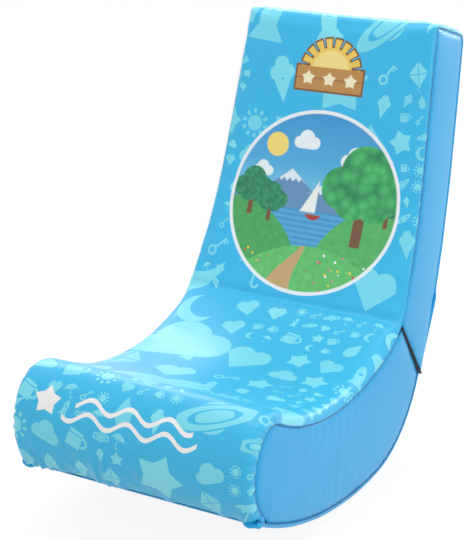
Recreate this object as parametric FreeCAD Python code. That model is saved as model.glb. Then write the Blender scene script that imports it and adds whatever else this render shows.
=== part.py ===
"""A folding floor rocker: a padded seat on curved rocker boards and a padded backrest hinged to it.

The seat and the backrest are each a wooden frame with webbing and foam, closed by a sewn cover.
They meet on a slanted joint face. Three butt hinges at its front edge let the backrest fold down
onto the seat, and the two faces press together when the chair is open.

Millimetres. X is the width, +Y points to the rear and +Z up. The origin is on the floor, in the
middle of the strip where the rocker rests.
"""
import FreeCAD, Part
import math
import os

from FreeCAD import Vector

# Overall form, as seen from the side
seat_width = 410.0
rocker_radius = 770.0
nose_reach = 400.03
rocker_rear_start = 2.0
rocker_rear_radius = 192.0
rocker_rear_turn = 90.0
floor_flat = 0.5
nose_angle = 130.7
nose_front_radius = 107.0
nose_front_length = 134.0
nose_top_radius = 62.0
nose_top_length = 96.0
seat_radius = 465.0
seat_length = 449.0
joint_angle = 53.5
back_angle = 56.5
back_radius = 844.0
back_curve_length = 258.0
back_straight_length = 248.0
back_thickness = 142.0
rear_straight_length = 190.0
rear_radius = 1575.0
back_top_width = 352.0
top_front_round = 10.0
top_rear_round = 22.0

# Edges and seams of the covers
seat_round = 14.0
back_round = 4.0
seat_seam = 17.0
rocker_seam = 6.0
back_seam = 6.0
welt_width = 2.4
welt_height = 1.0

# The two sections where they meet
joint_gap = 0.4
relief_reach = 14.0
relief_depth = 12.0
pivot_depth = 5.0

# Cover, foam, boards and rails
cover = 1.2
seat_padding = 43.5
back_padding = 30.0
webbing = 1.5
side_pad = 8.0
top_pad = 14.0
seat_side_thickness = 15.0
back_side_thickness = 12.0
rail = 18.0
hardboard = 3.0
rocker_board_front = 30.0
joint_board_top = 15.0
front_rail_place = 75.0
cross_rail_height = 45.0
front_cross_rail_place = 190.0
rear_cross_rail_place = 360.0
middle_rail_drop = 270.0
middle_rail_height = 50.0
strap_width = 50.0
seat_strap_pitch = 74.0
seat_strap_start = 282.0
seat_strap_count = 5
back_strap_pitch = 80.0
back_strap_start = 70.0
back_strap_count = 5

# Hinges
hinge_length = 60.0
hinge_spacing = 130.0
hinge_count = 3
leaf_thickness = 2.0
leaf_depth = 46.0
leaf_setback = 0.5
knuckle_radius = 3.0
knuckle_count = 5
knuckle_gap = 0.3
pin_radius = 1.5
pin_clearance = 0.05
leaf_clearance = 0.3

# Screws
screw_radius = 1.75
screw_head_radius = 3.5
screw_head_height = 1.2
screw_clearance = 0.05
hinge_screw_length = 16.0
hinge_screw_pitch = 22.0
hinge_screw_row = 18.0
hinge_screw_step = 16.0
frame_screw_length = 38.0
screw_sink = 0.3
front_screw_low = 140.0
front_screw_high = 190.0
joint_screw_top = 62.0
joint_screw_foot = 120.0
top_screw_front = 55.0
top_screw_rear = 110.0

# Cutting shapes reach past what they cut, and edges and crumbs are told apart by these
far = 2000.0
overlap = 1.0
lining_overlap = 0.01
edge_tolerance = 0.05
place_tolerance = 1.0
crumb_volume = 1.0
side_x = seat_width / 2


def along(angle, distance=1.0):
    """A vector in the side plane at an angle in degrees, from +Y towards +Z."""
    a = math.radians(angle)
    return Vector(0, distance * math.cos(a), distance * math.sin(a))


class Run:
    """A chain of tangent lines and arcs in the side plane. The object lies to its left or its right."""

    def __init__(self, start, heading, steps, inside):
        self.start = start
        self.heading = heading
        self.steps = steps  # (length, radius): a left turn is positive, and None is straight
        self.inside = inside  # +1 left, -1 right

    def move(self, point, heading, length, radius):
        """The point and heading after one step."""
        if radius is None:
            return point + along(heading, length), heading
        turn = math.degrees(length / radius)
        centre = point + along(heading + 90, radius)
        return centre + along(heading + turn - 90, radius), heading + turn

    def at(self, distance):
        """The point and heading at a distance from the start."""
        point, heading = self.start, self.heading
        for length, radius in self.steps:
            used = min(length, distance)
            point, heading = self.move(point, heading, used, radius)
            distance -= used
        return point, heading

    def length(self):
        return sum(step[0] for step in self.steps)

    def stretch(self, first, last):
        """The part of the run between two distances from its start."""
        start, heading = self.at(first)
        steps = []
        place = 0.0
        for length, radius in self.steps:
            low, high = max(first, place), min(last, place + length)
            if high > low:
                steps.append((high - low, radius))
            place += length
        return Run(start, heading, steps, self.inside)

    def inset(self, depth):
        """The same run, moved a depth into the object."""
        side = self.inside * depth
        start = self.start + along(self.heading + 90, side)
        steps = []
        for length, radius in self.steps:
            if radius is None:
                steps.append((length, None))
            else:
                steps.append((length * (radius - side) / radius, radius - side))
        return Run(start, self.heading, steps, self.inside)

    def edges(self):
        made = []
        point, heading = self.start, self.heading
        for length, radius in self.steps:
            middle = self.move(point, heading, length / 2, radius)[0]
            end, next_heading = self.move(point, heading, length, radius)
            if radius is None:
                made.append(Part.LineSegment(point, end).toShape())
            else:
                made.append(Part.Arc(point, middle, end).toShape())
            point, heading = end, next_heading
        return made

    def region(self, depth=0.0):
        """The flat region on the object's side of the run, moved in by a depth."""
        run = self.inset(depth)
        end, end_heading = run.at(run.length())
        before = run.start - along(run.heading, far)
        after = end + along(end_heading, far)
        away = along((run.heading + end_heading) / 2 + 90 * self.inside, far * 2)
        outline = [Part.LineSegment(before, run.start).toShape()]
        outline += run.edges()
        outline.append(Part.LineSegment(end, after).toShape())
        outline.append(Part.LineSegment(after, after + away).toShape())
        outline.append(Part.LineSegment(after + away, before + away).toShape())
        outline.append(Part.LineSegment(before + away, before).toShape())
        return Part.Face(Part.Wire(Part.__sortEdges__(outline)))

    def band(self, outer, inner):
        """The flat strip between two depths."""
        first, second = self.inset(outer), self.inset(inner)
        first_end, second_end = first.at(first.length())[0], second.at(second.length())[0]
        outline = first.edges() + second.edges()
        outline.append(Part.LineSegment(first.start, second.start).toShape())
        outline.append(Part.LineSegment(first_end, second_end).toShape())
        return Part.Face(Part.Wire(Part.__sortEdges__(outline)))


def half_plane(point, heading, inside):
    """The flat region to the left (+1) or right (-1) of a straight line."""
    start = point - along(heading, seat_width)
    return Run(start, heading, [(2 * seat_width, None)], inside).region()


def common(first, *others):
    shape = first
    for other in others:
        shape = shape.common(other)
    return shape


def prism(face, low_x, high_x):
    """A side-plane region extruded across the width."""
    made = []
    for part in face.Faces:
        part = part.copy()
        part.translate(Vector(low_x, 0, 0))
        made.append(part.extrude(Vector(high_x - low_x, 0, 0)))
    return made[0] if len(made) == 1 else Part.Compound(made)


# The side profile. Each run starts where the one before it ends.
rocker_centre = Vector(0, 0, rocker_radius - floor_flat)
rocker_front_angle = math.degrees(math.asin(nose_reach / rocker_radius))
nose_foot = rocker_centre + along(-90 - rocker_front_angle, rocker_radius)
rocker_run = Run(
    nose_foot,
    -rocker_front_angle,
    [
        (rocker_radius * math.radians(rocker_front_angle + rocker_rear_start), rocker_radius),
        (rocker_rear_radius * math.radians(rocker_rear_turn), rocker_rear_radius),
    ],
    1,
)
seat_run = Run(
    nose_foot,
    nose_angle,
    [
        (nose_front_length, -nose_front_radius),
        (nose_top_length, -nose_top_radius),
        (seat_length, seat_radius),
    ],
    -1,
)
crease, seat_end_heading = seat_run.at(seat_run.length())
joint_down = along(-joint_angle)
joint_rearward = along(90 - joint_angle)
pivot = crease + joint_down * pivot_depth

back_run = Run(
    crease, back_angle, [(back_curve_length, back_radius), (back_straight_length, None)], -1
)
top_corner, top_heading = back_run.at(back_run.length())
# The same surface carried on below the crease, for what is cut off at the joint face
back_lead = back_thickness
lead_turn = math.degrees(back_lead / back_radius)
lead_start = Run(crease, back_angle + 180, [(back_lead, -back_radius)], 1).at(back_lead)[0]
long_back_run = Run(
    lead_start,
    back_angle - lead_turn,
    [(back_lead + back_curve_length, back_radius), (back_straight_length, None)],
    -1,
)
# The rear, from the top down and on below the joint face
rear_curve_length = long_back_run.length() - rear_straight_length
rear_run = Run(
    top_corner + along(top_heading - 90, back_thickness),
    top_heading + 180,
    [(rear_straight_length, None), (rear_curve_length, -rear_radius)],
    -1,
)

# The outline of the backrest with its rounded top corners, up its face and down its rear
back_outline_run = Run(
    lead_start,
    back_angle - lead_turn,
    [
        (back_lead + back_curve_length, back_radius),
        (back_straight_length - top_front_round, None),
        (top_front_round * math.pi / 2, -top_front_round),
        (back_thickness - top_front_round - top_rear_round, None),
        (top_rear_round * math.pi / 2, -top_rear_round),
        (rear_straight_length - top_rear_round, None),
        (rear_curve_length, -rear_radius),
    ],
    -1,
)


def joint_point(depth, out):
    """A point at a depth down the joint face and a distance out of it, to the rear if positive."""
    return crease + joint_down * depth + joint_rearward * out


def seat_joint(depth):
    """The seat's side of the joint face, moved into the seat by a depth."""
    return half_plane(joint_point(0, -joint_gap / 2 - depth), -joint_angle, -1)


def back_joint(depth):
    """The backrest's side of the joint face, moved into the backrest by a depth."""
    return half_plane(joint_point(0, joint_gap / 2 + depth), -joint_angle, 1)


def relief(surface_angle, depth):
    """The side of a slanted line that stays when the corner of a section is cut off at the crease."""
    on_surface = crease + along(surface_angle, relief_reach)
    on_joint = joint_point(relief_depth, 0)
    if surface_angle > 90:
        line = on_joint - on_surface
    else:
        line = on_surface - on_joint
    heading = math.degrees(math.atan2(line.z, line.y))
    return half_plane(on_joint + along(heading - 90, depth), heading, -1)


def seat_region(face_depth, rocker_depth, joint_depth):
    """The seat's side outline, moved in by a depth from each of its faces."""
    return common(
        seat_run.region(face_depth),
        rocker_run.region(rocker_depth),
        seat_joint(joint_depth),
        relief(seat_end_heading + 180, joint_depth),
        half_plane(Vector(0, 0, 0), 0, 1),
    )


def back_top(depth):
    return half_plane(top_corner - along(top_heading, depth), top_heading - 90, -1)


def back_region(face_depth, rear_depth, top_depth, joint_depth):
    """The backrest's side outline with square corners, moved in by a depth from each of its faces."""
    return common(
        long_back_run.region(face_depth),
        rear_run.region(rear_depth),
        back_top(top_depth),
        back_joint(joint_depth),
        relief(back_angle, joint_depth),
    )


# The backrest narrows towards its top, so its sides are slanted planes.
back_length = (top_corner - crease).Length
back_axis = (top_corner - crease).normalize()
back_normal = Vector(0, back_axis.z, -back_axis.y)
side_slant = math.atan2((seat_width - back_top_width) / 2, back_length)


def back_half_width(distance, inset):
    """Half the backrest's width at a distance up from the crease, less an inset square to its side."""
    return side_x - distance * math.tan(side_slant) - inset / math.cos(side_slant)


def back_plate(corners):
    """A solid through the backrest, from front to rear, over corners given as width and distance up."""
    points = [
        crease - back_normal * back_length + back_axis * distance + Vector(x, 0, 0)
        for x, distance in corners
    ]
    face = Part.Face(Part.makePolygon(points + points[:1]))
    return face.extrude(back_normal * (3 * back_length))


def back_middle(inset):
    """The solid between the backrest's two slanted sides, moved in by an inset."""
    low, high = -back_length, 2 * back_length
    wide, narrow = back_half_width(low, inset), back_half_width(high, inset)
    return back_plate([(-wide, low), (wide, low), (narrow, high), (-narrow, high)])


def back_layer(outer_inset, inner_inset):
    """A layer along the backrest's left side, between two insets from it."""
    low, high = -back_length, 2 * back_length
    return back_plate(
        [
            (back_half_width(low, inner_inset), low),
            (back_half_width(low, outer_inset), low),
            (back_half_width(high, outer_inset), high),
            (back_half_width(high, inner_inset), high),
        ]
    )


def lies_on(edge, run):
    """Whether an edge runs along a run or its straight extensions, seen from the side."""
    if abs(edge.Vertexes[0].Point.x - edge.Vertexes[-1].Point.x) > place_tolerance:
        return False
    end, end_heading = run.at(run.length())
    before = Part.LineSegment(run.start - along(run.heading, far), run.start).toShape()
    after = Part.LineSegment(end, end + along(end_heading, far)).toShape()
    line = Part.Compound([before, after] + run.edges())
    for share in (0.2, 0.5, 0.8):
        place = edge.FirstParameter + share * (edge.LastParameter - edge.FirstParameter)
        point = edge.valueAt(place)
        if line.distToShape(Part.Vertex(0, point.y, point.z))[0] > edge_tolerance:
            return False
    return True


def seat_form(depth):
    """The seat's outer form with its rolled edges, moved in by a depth all round."""
    wide = side_x - depth
    over = common(seat_run.region(depth), seat_joint(depth))
    block = prism(over, -wide, wide)
    edges = [e for e in block.Edges if lies_on(e, seat_run.inset(depth))]
    rolled = block.makeFillet(seat_round - depth, edges)
    return common(rolled, prism(seat_region(depth, depth, depth), -wide, wide))


def back_outline(depth):
    """The backrest's side outline with its round top corners, carried on below the joint face."""
    run = back_outline_run.inset(depth)
    closing = Part.LineSegment(run.at(run.length())[0], run.start).toShape()
    return Part.Face(Part.Wire(Part.__sortEdges__(run.edges() + [closing])))


def back_form(depth):
    """The backrest's outer form with its rolled edges, moved in by a depth all round."""
    block = common(across(back_outline(depth)), back_middle(depth))
    run = back_outline_run.inset(depth)
    middle = (run.at(run.length())[0] + run.start) / 2
    long_edges = []
    for edge in block.Edges:
        centre = edge.valueAt((edge.FirstParameter + edge.LastParameter) / 2)
        along_side = abs(centre.x) > back_top_width / 4
        apart = (Vector(0, centre.y, centre.z) - middle).Length
        if along_side and apart > place_tolerance:
            long_edges.append(edge)
    rolled = block.makeFillet(back_round - depth, long_edges)
    cut = common(back_joint(depth), relief(back_angle, depth))
    return common(rolled, across(cut))


def across(face, wide=seat_width):
    """A side-plane region extruded over the whole width, or over a half width given."""
    return prism(face, -wide, wide)


def left_of(shape):
    return common(shape, Part.makeBox(far, far, far, Vector(0, -far / 2, -far / 2)))


def mirrored(shape):
    return shape.mirror(Vector(0, 0, 0), Vector(1, 0, 0))


def both_sides(name, shape):
    """Keeps a left piece and its mirror image. Left is the sitter's left, at +X."""
    keep(name + "_left", shape)
    keep(name + "_right", mirrored(shape))


def rectangle(point, heading, height, thickness):
    """A rectangle that stands on a point: its height along a heading, its thickness to the right."""
    side = along(heading - 90, thickness)
    up = along(heading, height)
    return Part.Face(Part.makePolygon([point, point + up, point + up + side, point + side, point]))


def joint_box(low_x, high_x, low_depth, high_depth, low_out, high_out):
    """A box at the joint face, between two depths down it and two distances out of it."""
    corners = [
        joint_point(low_depth, low_out),
        joint_point(high_depth, low_out),
        joint_point(high_depth, high_out),
        joint_point(low_depth, high_out),
    ]
    return prism(Part.Face(Part.makePolygon(corners + corners[:1])), low_x, high_x)


def screw(point, direction, length):
    """A screw whose head is flush at a point, pointing along a direction."""
    tip = screw_radius * 1.5
    shank = Part.makeCylinder(screw_radius, length - tip, point, direction)
    head = Part.makeCylinder(screw_head_radius, screw_head_height, point, direction)
    end = point + direction * (length - tip)
    return shank.fuse(head).fuse(Part.makeCone(screw_radius, 0, tip, end, direction))


def screw_hole(point, direction, length):
    """The room for a screw. It opens outwards over the head."""
    shank = Part.makeCylinder(screw_radius + screw_clearance, length, point, direction)
    radius = screw_head_radius + screw_clearance
    outside = point - direction * screw_head_height
    return shank.fuse(Part.makeCylinder(radius, 2 * screw_head_height, outside, direction))


def straps(run, first, pitch, count, padding):
    """Webbing straps across the frame, in the layer under the foam."""
    made = []
    for i in range(count):
        start = first + i * pitch
        band = run.stretch(start, start + strap_width).band(padding, padding + webbing)
        made.append(prism(band, -board_x, board_x))
    return Part.Compound(made)


nodes = {}


def keep(name, shape):
    solids = [s for s in shape.Solids if s.Volume > crumb_volume]
    nodes[name] = solids[0] if len(solids) == 1 else Part.Compound(solids)


# Room for the hinges, and where their screws and the frame's screws go
hinge_places = [(i - (hinge_count - 1) / 2) * hinge_spacing for i in range(hinge_count)]
plate_top = pivot_depth + knuckle_radius + leaf_setback
plate_foot = pivot_depth + leaf_depth
leaf_out = joint_gap / 2 + leaf_thickness


def leaf_rooms(side, clearance):
    """The room for the plates on one side of the joint face: -1 is the seat, +1 the backrest."""
    made = []
    for x in hinge_places:
        low, high = sorted((0.0, side * leaf_out))
        half = hinge_length / 2 + clearance
        made.append(
            joint_box(x - half, x + half, plate_top - overlap, plate_foot + clearance, low, high)
        )
    return Part.Compound(made)


def leaf_screw_places(side):
    """Where the hinge screws' heads lie flush in the plates."""
    places = []
    for x in hinge_places:
        for step, row in ((-1, 0), (0, 1), (1, 0)):
            depth = pivot_depth + hinge_screw_row + row * hinge_screw_step
            point = joint_point(depth, side * joint_gap / 2)
            places.append(point + Vector(x + step * hinge_screw_pitch, 0, 0))
    return places


def cut_holes(shape, places, direction, length):
    for place in places:
        shape = shape.cut(screw_hole(place, direction, length))
    return shape


def hinge_leaves(side):
    """The plates on one side with every other knuckle, bored for the pin and the screws."""
    near, away = sorted((side * joint_gap / 2, side * leaf_out))
    width = (hinge_length - (knuckle_count - 1) * knuckle_gap) / knuckle_count
    made = []
    for x in hinge_places:
        low_x = x - hinge_length / 2
        leaf = joint_box(low_x, low_x + hinge_length, plate_top, plate_foot, near, away)
        for i in range(0 if side < 0 else 1, knuckle_count, 2):
            start = low_x + i * (width + knuckle_gap)
            centre = pivot + Vector(start, 0, 0)
            knuckle = Part.makeCylinder(knuckle_radius, width, centre, Vector(1, 0, 0))
            tab = joint_box(start, start + width, pivot_depth, plate_top, near, away)
            leaf = leaf.fuse(tab).fuse(knuckle)
        bore = pin_radius + pin_clearance
        leaf = leaf.cut(
            Part.makeCylinder(bore, seat_width, pivot - Vector(side_x, 0, 0), Vector(1, 0, 0))
        )
        made.append(leaf)
    direction = joint_rearward * side
    return cut_holes(Part.Compound(made), leaf_screw_places(side), direction, hinge_screw_length)


def hinge_pins():
    made = [
        Part.makeCylinder(
            pin_radius, hinge_length, pivot + Vector(x - hinge_length / 2, 0, 0), Vector(1, 0, 0)
        )
        for x in hinge_places
    ]
    return Part.Compound(made)


# The seat's frame
board_x = side_x - cover - side_pad
frame_x = board_x - seat_side_thickness
frame_region = seat_region(seat_padding + webbing, cover + hardboard, cover)
front_rail_point = nose_foot + Vector(0, front_rail_place + rail, 0)
front_rail_face = rectangle(Vector(0, front_rail_point.y, 0), 90, seat_width, -rail)


def rocker_place(distance):
    """The point on the inside of the rocker board at a distance back from the nose, and its heading."""
    point, heading = rocker_run.at(distance)
    return point + along(heading + 90, cover + hardboard), heading


def cross_rail(distance):
    point, heading = rocker_place(distance)
    height = along(heading + 90, hardboard)
    return rectangle(point - height, heading + 90, cross_rail_height + hardboard, rail)


def cross_rail_screw(distance):
    point, heading = rocker_place(distance)
    return [point + along(heading + 90, cross_rail_height / 2) + along(heading, rail / 2)]


def joint_board_face(side):
    """The section of the board behind the joint face, from below the crease downwards."""
    low, high = sorted(
        (side * (joint_gap / 2 + cover), side * (joint_gap / 2 + cover + rail))
    )
    corners = [
        joint_point(joint_board_top, low),
        joint_point(far, low),
        joint_point(far, high),
        joint_point(joint_board_top, high),
    ]
    return Part.Face(Part.makePolygon(corners + corners[:1]))


def joint_board_screws(side):
    out = side * (joint_gap / 2 + cover + rail / 2)
    return [joint_point(depth, out) for depth in (joint_screw_top, joint_screw_foot)]


seat_screw_points = (
    [
        Vector(0, front_rail_point.y - rail / 2, height)
        for height in (front_screw_low, front_screw_high)
    ]
    + cross_rail_screw(front_cross_rail_place)
    + cross_rail_screw(rear_cross_rail_place)
    + joint_board_screws(-1)
)
seat_screw_places = [point + Vector(board_x, 0, 0) for point in seat_screw_points]
inward = Vector(-1, 0, 0)


def bored_pair(shape, places):
    """A cross piece bored for the frame screws from both its ends."""
    bored = cut_holes(shape, places, inward, frame_screw_length)
    return mirrored(cut_holes(mirrored(bored), places, inward, frame_screw_length))


def seat_rail(face):
    rail_solid = prism(common(face, frame_region), -frame_x, frame_x)
    return bored_pair(rail_solid, seat_screw_places)


seat_joint_board = seat_rail(joint_board_face(-1))
seat_joint_board = seat_joint_board.cut(leaf_rooms(-1, 0.0))
seat_joint_board = cut_holes(
    seat_joint_board, leaf_screw_places(-1), -joint_rearward, hinge_screw_length
)
keep("seat_front_rail", seat_rail(front_rail_face))
front_of_rail = half_plane(Vector(0, front_rail_point.y - rail, 0), 90, 1)
nose_region = common(seat_region(seat_padding, cover + hardboard, cover), front_of_rail)
keep("seat_nose_foam", prism(nose_region, -frame_x, frame_x))
keep("seat_cross_rail_front", seat_rail(cross_rail(front_cross_rail_place)))
keep("seat_cross_rail_rear", seat_rail(cross_rail(rear_cross_rail_place)))
keep("seat_joint_board", seat_joint_board)
both_sides(
    "seat_side_board",
    cut_holes(prism(frame_region, frame_x, board_x), seat_screw_places, inward, frame_screw_length),
)

# The bent hardboard that the chair rocks on
rocker_board_region = seat_region(rocker_board_front, cover, cover).cut(
    seat_region(-seat_padding, cover + hardboard, -seat_padding)
)
keep("rocker_board", across(rocker_board_region, board_x))

# Straps, foam and side pads of the seat
seat_outer = seat_form(0.0)
seat_inner = seat_form(cover)
keep(
    "seat_webbing",
    straps(seat_run, seat_strap_start, seat_strap_pitch, seat_strap_count, seat_padding),
)
seat_foam_region = seat_region(cover, cover, cover).cut(
    seat_region(seat_padding, -seat_padding, -seat_padding)
)
seat_foam = common(across(seat_foam_region), seat_inner)
seat_foam = seat_foam.cut(across(rocker_board_region, board_x))
seat_foam = seat_foam.cut(prism(joint_board_face(-1), -frame_x, frame_x))
keep("seat_foam", seat_foam.cut(leaf_rooms(-1, leaf_clearance)))
both_sides(
    "seat_side_pad",
    common(prism(seat_region(seat_padding, cover, cover), board_x, side_x - cover), seat_inner),
)

# The seat's cover: a printed panel, plain side panels, the bottom and the lining of the joint face
seat_shell = seat_outer.cut(seat_inner)
seat_lining = seat_shell.cut(across(seat_joint(cover)))
seat_skin = seat_shell.common(across(seat_joint(cover)))
seat_core = across(seat_region(seat_seam, rocker_seam, cover + lining_overlap))
seat_sides = seat_skin.common(seat_core)
seat_wrap = seat_skin.cut(seat_core)
rocker_strip = across(
    rocker_run.band(-overlap, rocker_seam).cut(seat_run.band(-overlap, seat_seam))
)
keep("seat_cover", seat_wrap.cut(rocker_strip).cut(leaf_rooms(-1, leaf_clearance)))
keep("rocker_cover", seat_wrap.common(rocker_strip))
keep("seat_end_cover", seat_lining.cut(leaf_rooms(-1, leaf_clearance)))
both_sides("seat_side_cover", left_of(seat_sides))


def seat_welt(outer, inner):
    return prism(outer.cut(inner), side_x, side_x + welt_height)


half_welt = welt_width / 2
both_sides(
    "seat_welt",
    seat_welt(
        seat_region(seat_seam - half_welt, rocker_seam - half_welt, 0),
        seat_region(seat_seam + half_welt, -seat_seam, -seat_seam),
    ),
)
both_sides(
    "rocker_welt",
    seat_welt(
        seat_region(seat_seam + half_welt, rocker_seam - half_welt, 0),
        seat_region(-seat_seam, rocker_seam + half_welt, -seat_seam),
    ),
)

# The backrest's frame
back_board_inset = cover + side_pad
back_frame_inset = back_board_inset + back_side_thickness
back_frame_region = back_region(back_padding + webbing, cover + hardboard, cover + top_pad, cover)
top_rail_point = top_corner - along(top_heading, cover + top_pad + rail)
top_rail_face = rectangle(top_rail_point, top_heading - 90, 2 * back_thickness, -rail)


def rear_place(drop, depth):
    """A point in the backrest at a distance down its rear and a depth in, and the way down."""
    point, heading = rear_run.at(drop)
    return point + along(heading - 90, depth), heading


def middle_rail():
    point, heading = rear_place(middle_rail_drop, cover)
    return rectangle(point, heading, middle_rail_height, hardboard + rail)


def back_place(point):
    """A point on the outside of the left side board, beside a point of the side plane."""
    distance = (point - crease).dot(back_axis)
    return point + Vector(back_half_width(distance, back_board_inset) - screw_sink, 0, 0)


middle_point = rear_place(
    middle_rail_drop + middle_rail_height / 2, cover + hardboard + rail / 2
)[0]
back_screw_points = (
    [
        top_rail_point + along(top_heading, rail / 2) + along(top_heading - 90, depth)
        for depth in (top_screw_front, top_screw_rear)
    ]
    + [middle_point]
    + joint_board_screws(1)
)
back_screw_places = [back_place(point) for point in back_screw_points]


def back_rail(face):
    solid = common(across(common(face, back_frame_region)), back_middle(back_frame_inset))
    return bored_pair(solid, back_screw_places)


back_joint_board = back_rail(joint_board_face(1)).cut(leaf_rooms(1, 0.0))
back_joint_board = cut_holes(
    back_joint_board, leaf_screw_places(1), joint_rearward, hinge_screw_length
)
keep("back_top_rail", back_rail(top_rail_face))
keep("back_middle_rail", back_rail(middle_rail()))
keep("back_joint_board", back_joint_board)
both_sides(
    "back_side_board",
    cut_holes(
        common(across(back_frame_region), back_layer(back_board_inset, back_frame_inset)),
        back_screw_places,
        inward,
        frame_screw_length,
    ),
)
# Straps, foam and side pads of the backrest
back_outer = back_form(0.0)
back_inner = back_form(cover)
keep(
    "back_rear_panel",
    common(
        across(
            back_region(back_padding, cover, cover + top_pad, cover).cut(
                back_region(-back_padding, cover + hardboard, -back_padding, -back_padding)
            )
        ),
        back_middle(back_board_inset),
        back_inner,
    ),
)
back_straps = straps(
    back_run, back_strap_start, back_strap_pitch, back_strap_count, back_padding
)
keep("back_webbing", common(back_straps, back_middle(back_board_inset)))
back_foam = common(
    across(
        back_region(cover, cover, cover, cover).cut(
            back_region(back_padding, -back_padding, cover + top_pad, -back_padding)
        )
    ),
    back_inner,
)
back_foam = back_foam.cut(
    common(prism(joint_board_face(1), -side_x, side_x), back_middle(back_frame_inset))
)
keep("back_foam", back_foam.cut(leaf_rooms(1, leaf_clearance)))
both_sides(
    "back_side_pad",
    common(
        across(back_region(back_padding, cover, cover + top_pad, cover)),
        back_layer(cover, back_board_inset),
        back_inner,
    ),
)

# The backrest's cover: the printed panel over its top, plain sides, the rear and the joint lining
back_shell = back_outer.cut(back_inner)
back_lining = back_shell.cut(across(back_joint(cover)))
back_skin = back_shell.common(across(back_joint(cover)))
back_core = across(
    common(
        back_outline(back_seam),
        back_joint(cover + lining_overlap),
        relief(back_angle, cover + lining_overlap),
    )
)
back_sides = back_skin.common(back_core)
back_wrap = back_skin.cut(back_core)
rear_strip = across(common(rear_run.band(-overlap, back_seam), back_top(back_seam)))
keep("back_cover", back_wrap.cut(rear_strip).cut(leaf_rooms(1, leaf_clearance)))
keep("back_rear_cover", back_wrap.common(rear_strip))
keep("back_end_cover", back_lining.cut(leaf_rooms(1, leaf_clearance)))
both_sides("back_side_cover", left_of(back_sides))
back_welt_region = common(
    back_outline(back_seam - half_welt).cut(back_outline(back_seam + half_welt)),
    rear_run.region(top_rear_round),
    back_joint(0),
    relief(back_angle, 0),
)
both_sides(
    "back_welt",
    common(across(back_welt_region), back_layer(-welt_height, 0)),
)

# Hinges and screws
keep("seat_hinge_leaves", hinge_leaves(-1))
keep("back_hinge_leaves", hinge_leaves(1))
keep("hinge_pins", hinge_pins())
for body, side in (("seat", -1), ("back", 1)):
    screws = [
        screw(p, joint_rearward * side, hinge_screw_length) for p in leaf_screw_places(side)
    ]
    keep(body + "_hinge_screws", Part.Compound(screws))
seat_screws = Part.Compound([screw(p, inward, frame_screw_length) for p in seat_screw_places])
back_screws = Part.Compound([screw(p, inward, frame_screw_length) for p in back_screw_places])
keep("seat_frame_screws", Part.Compound([seat_screws, mirrored(seat_screws)]))
keep("back_frame_screws", Part.Compound([back_screws, mirrored(back_screws)]))

os.makedirs("parts", exist_ok=True)
for name, shape in nodes.items():
    shape.exportStep("parts/" + name + ".step")
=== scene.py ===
import math

import bmesh
import bpy
import numpy as np
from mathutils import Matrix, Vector, geometry, noise


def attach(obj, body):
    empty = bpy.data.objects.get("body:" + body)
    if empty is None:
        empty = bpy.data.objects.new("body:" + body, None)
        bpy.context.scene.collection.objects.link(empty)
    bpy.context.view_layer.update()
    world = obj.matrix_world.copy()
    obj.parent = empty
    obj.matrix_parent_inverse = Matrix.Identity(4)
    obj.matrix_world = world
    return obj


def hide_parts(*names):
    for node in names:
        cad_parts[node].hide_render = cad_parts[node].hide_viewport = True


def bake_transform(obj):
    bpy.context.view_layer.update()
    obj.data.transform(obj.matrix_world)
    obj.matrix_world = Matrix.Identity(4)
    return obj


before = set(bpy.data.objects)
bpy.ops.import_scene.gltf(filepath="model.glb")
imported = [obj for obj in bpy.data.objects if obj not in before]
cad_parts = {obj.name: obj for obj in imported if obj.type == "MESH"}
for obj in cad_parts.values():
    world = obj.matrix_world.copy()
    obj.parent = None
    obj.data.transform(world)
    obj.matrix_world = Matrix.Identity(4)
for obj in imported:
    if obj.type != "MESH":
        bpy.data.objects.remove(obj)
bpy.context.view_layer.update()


# Side boards and rails
# The seat and the backrest each stand on a glued frame of birch plywood side boards with rails
# between them, held by screws. The boards are sawn, sanded and left bare inside the covers.
class Value:
    """A number that varies over a surface. Python maths on it adds Math nodes to its material."""

    def __init__(self, finish, socket):
        self.finish = finish
        self.socket = socket

    def math(self, operation, *values):
        return self.finish.node("ShaderNodeMath", {"operation": operation}, dict(enumerate(values)))

    def __add__(self, other):
        return self.math("ADD", self, other)

    def __sub__(self, other):
        return self.math("SUBTRACT", self, other)

    def __rsub__(self, other):
        return self.math("SUBTRACT", other, self)

    def __mul__(self, other):
        return self.math("MULTIPLY", self, other)

    def __truediv__(self, other):
        return self.math("DIVIDE", self, other)

    def __rtruediv__(self, other):
        return self.math("DIVIDE", other, self)

    def __pow__(self, other):
        return self.math("POWER", self, other)

    def __mod__(self, other):
        return self.math("FLOORED_MODULO", self, other)

    def __abs__(self):
        return self.math("ABSOLUTE", self)

    def __gt__(self, other):
        return self.math("GREATER_THAN", self, other)

    def __lt__(self, other):
        return self.math("LESS_THAN", self, other)

    __radd__ = __add__
    __rmul__ = __mul__


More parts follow.
